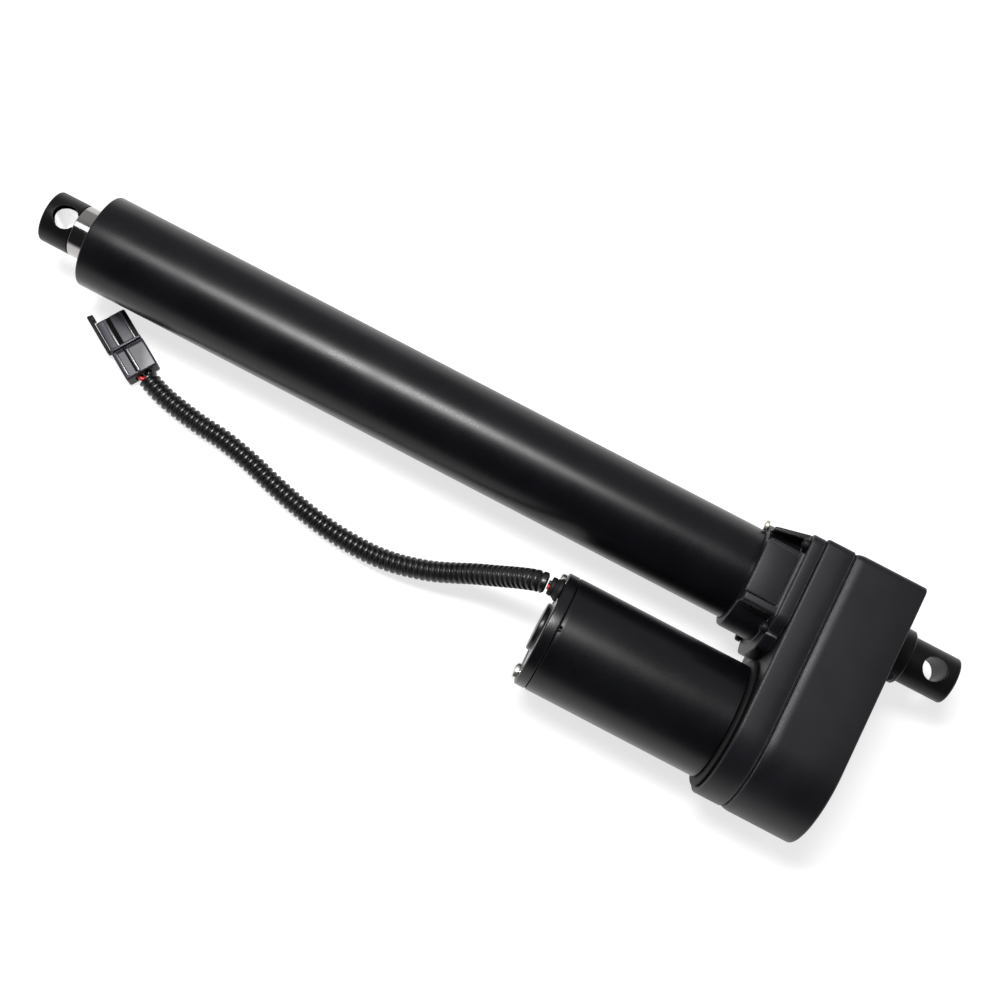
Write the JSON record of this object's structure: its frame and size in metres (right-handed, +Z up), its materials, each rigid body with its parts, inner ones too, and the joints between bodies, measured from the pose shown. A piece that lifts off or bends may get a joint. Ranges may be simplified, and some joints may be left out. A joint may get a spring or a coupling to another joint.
{
  "type": "linear actuator",
  "caption": "Parallel-drive electric linear actuator: a rod slides from a round cover tube, driven through a gear case by a motor beside it, with a clevis eye at each end and a short cable.",
  "frame": {"origin": "under the middle of the actuator box, on the surface that it lies on", "axes": "+X along the tube towards the rod eye, +Y from the tube axis towards the motor axis, +Z up"},
  "size_m": [0.526, 0.141, 0.0774],
  "materials": {
    "tube_paint": "satin black paint",
    "case_coat": "matte charcoal coated casting",
    "motor_paint": "satin black paint",
    "rod_chrome": "polished steel rod",
    "eye_black": "black painted steel",
    "steel": "machined steel",
    "bronze": "machined bronze",
    "copper": "wound copper and copper alloy",
    "rubber": "black rubber",
    "ferrite": "sintered ferrite",
    "loom_plastic": "glossy black split loom",
    "plug_plastic": "glossy dark grey moulded plastic",
    "wire_red": "red wire insulation",
    "wire_black": "black wire insulation",
    "carbon": "carbon and phenolic board"
  },
  "bodies": {
    "housing": {"cover_tube": "tube_paint", "rod_guide_bushing": "bronze", "rod_wiper_seal": "rubber", "thrust_bearing_rear": "steel", "thrust_bearing_front": "steel", "bearing_spacer": "steel", "cluster_shaft": "steel", "rear_cover": "case_coat", "rear_eye": "eye_black", "rear_eye_nut": "steel", "case_gasket": "rubber", "gear_housing": "case_coat", "front_housing": "case_coat", "collar_pad_top": "case_coat", "collar_pad_bottom": "case_coat", "housing_screw_1": "steel", "housing_screw_2": "steel", "housing_screw_3": "steel", "housing_screw_4": "steel", "collar_clamp_screw": "steel", "motor_can": "motor_paint", "motor_seal_ring": "rubber", "motor_end_cap": "motor_paint", "motor_through_bolt_1": "steel", "motor_through_bolt_2": "steel", "motor_front_plate": "steel", "motor_bearing_front": "steel", "motor_bearing_rear": "steel", "magnet_upper": "ferrite", "magnet_lower": "ferrite", "brush_card": "carbon", "brush_upper": "carbon", "brush_lower": "carbon", "cable_grommet": "rubber", "cable_loom": "loom_plastic", "lead_red_motor": "wire_red", "lead_black_motor": "wire_black", "lead_red_plug": "wire_red", "lead_black_plug": "wire_black", "connector_body": "plug_plastic", "connector_shroud": "plug_plastic", "terminal_1": "copper", "terminal_2": "copper"},
    "rod": {"extension_rod": "rod_chrome", "rod_eye": "eye_black", "rod_eye_pin": "steel", "drive_nut": "bronze"},
    "screw": {"lead_screw": "steel", "screw_end_nut": "steel", "output_gear": "steel"},
    "cluster": {"cluster_wheel": "steel", "cluster_pinion": "steel"},
    "rotor": {"motor_shaft": "steel", "motor_pinion": "steel", "armature": "copper", "commutator": "copper"},
    "latch": {"connector_latch": "plug_plastic"}
  },
  "joints": [
    {"name": "rod_slide", "type": "slide", "parent": "housing", "child": "rod", "axis": [1, 0, 0], "range_m": [0, 0.3048]},
    {"name": "screw_spin", "type": "hinge", "parent": "housing", "child": "screw", "pos_m": [-0.16375, -0.0412, 0.0387], "axis": [1, 0, 0], "range_deg": [0, 21601]},
    {"name": "cluster_spin", "type": "hinge", "parent": "housing", "child": "cluster", "pos_m": [-0.20375, -0.0082, 0.0387], "axis": [1, 0, 0], "range_deg": [-43202, 0]},
    {"name": "rotor_spin", "type": "hinge", "parent": "housing", "child": "rotor", "pos_m": [-0.12375, 0.0318, 0.0387], "axis": [1, 0, 0], "range_deg": [0, 187210]},
    {"name": "latch_flex", "type": "hinge", "parent": "housing", "child": "latch", "pos_m": [0.20952, 0.00479, 0.00655], "axis": [0, 0, 1], "range_deg": [0, 5], "stiffness_Nm_per_rad": 0.05}
  ],
  "couplings": [
    {"joint": "screw_spin", "follows": "rod_slide", "rad_per_m": 1236.8},
    {"joint": "cluster_spin", "follows": "rod_slide", "rad_per_m": -2473.7},
    {"joint": "rotor_spin", "follows": "rod_slide", "rad_per_m": 10719}
  ]
}
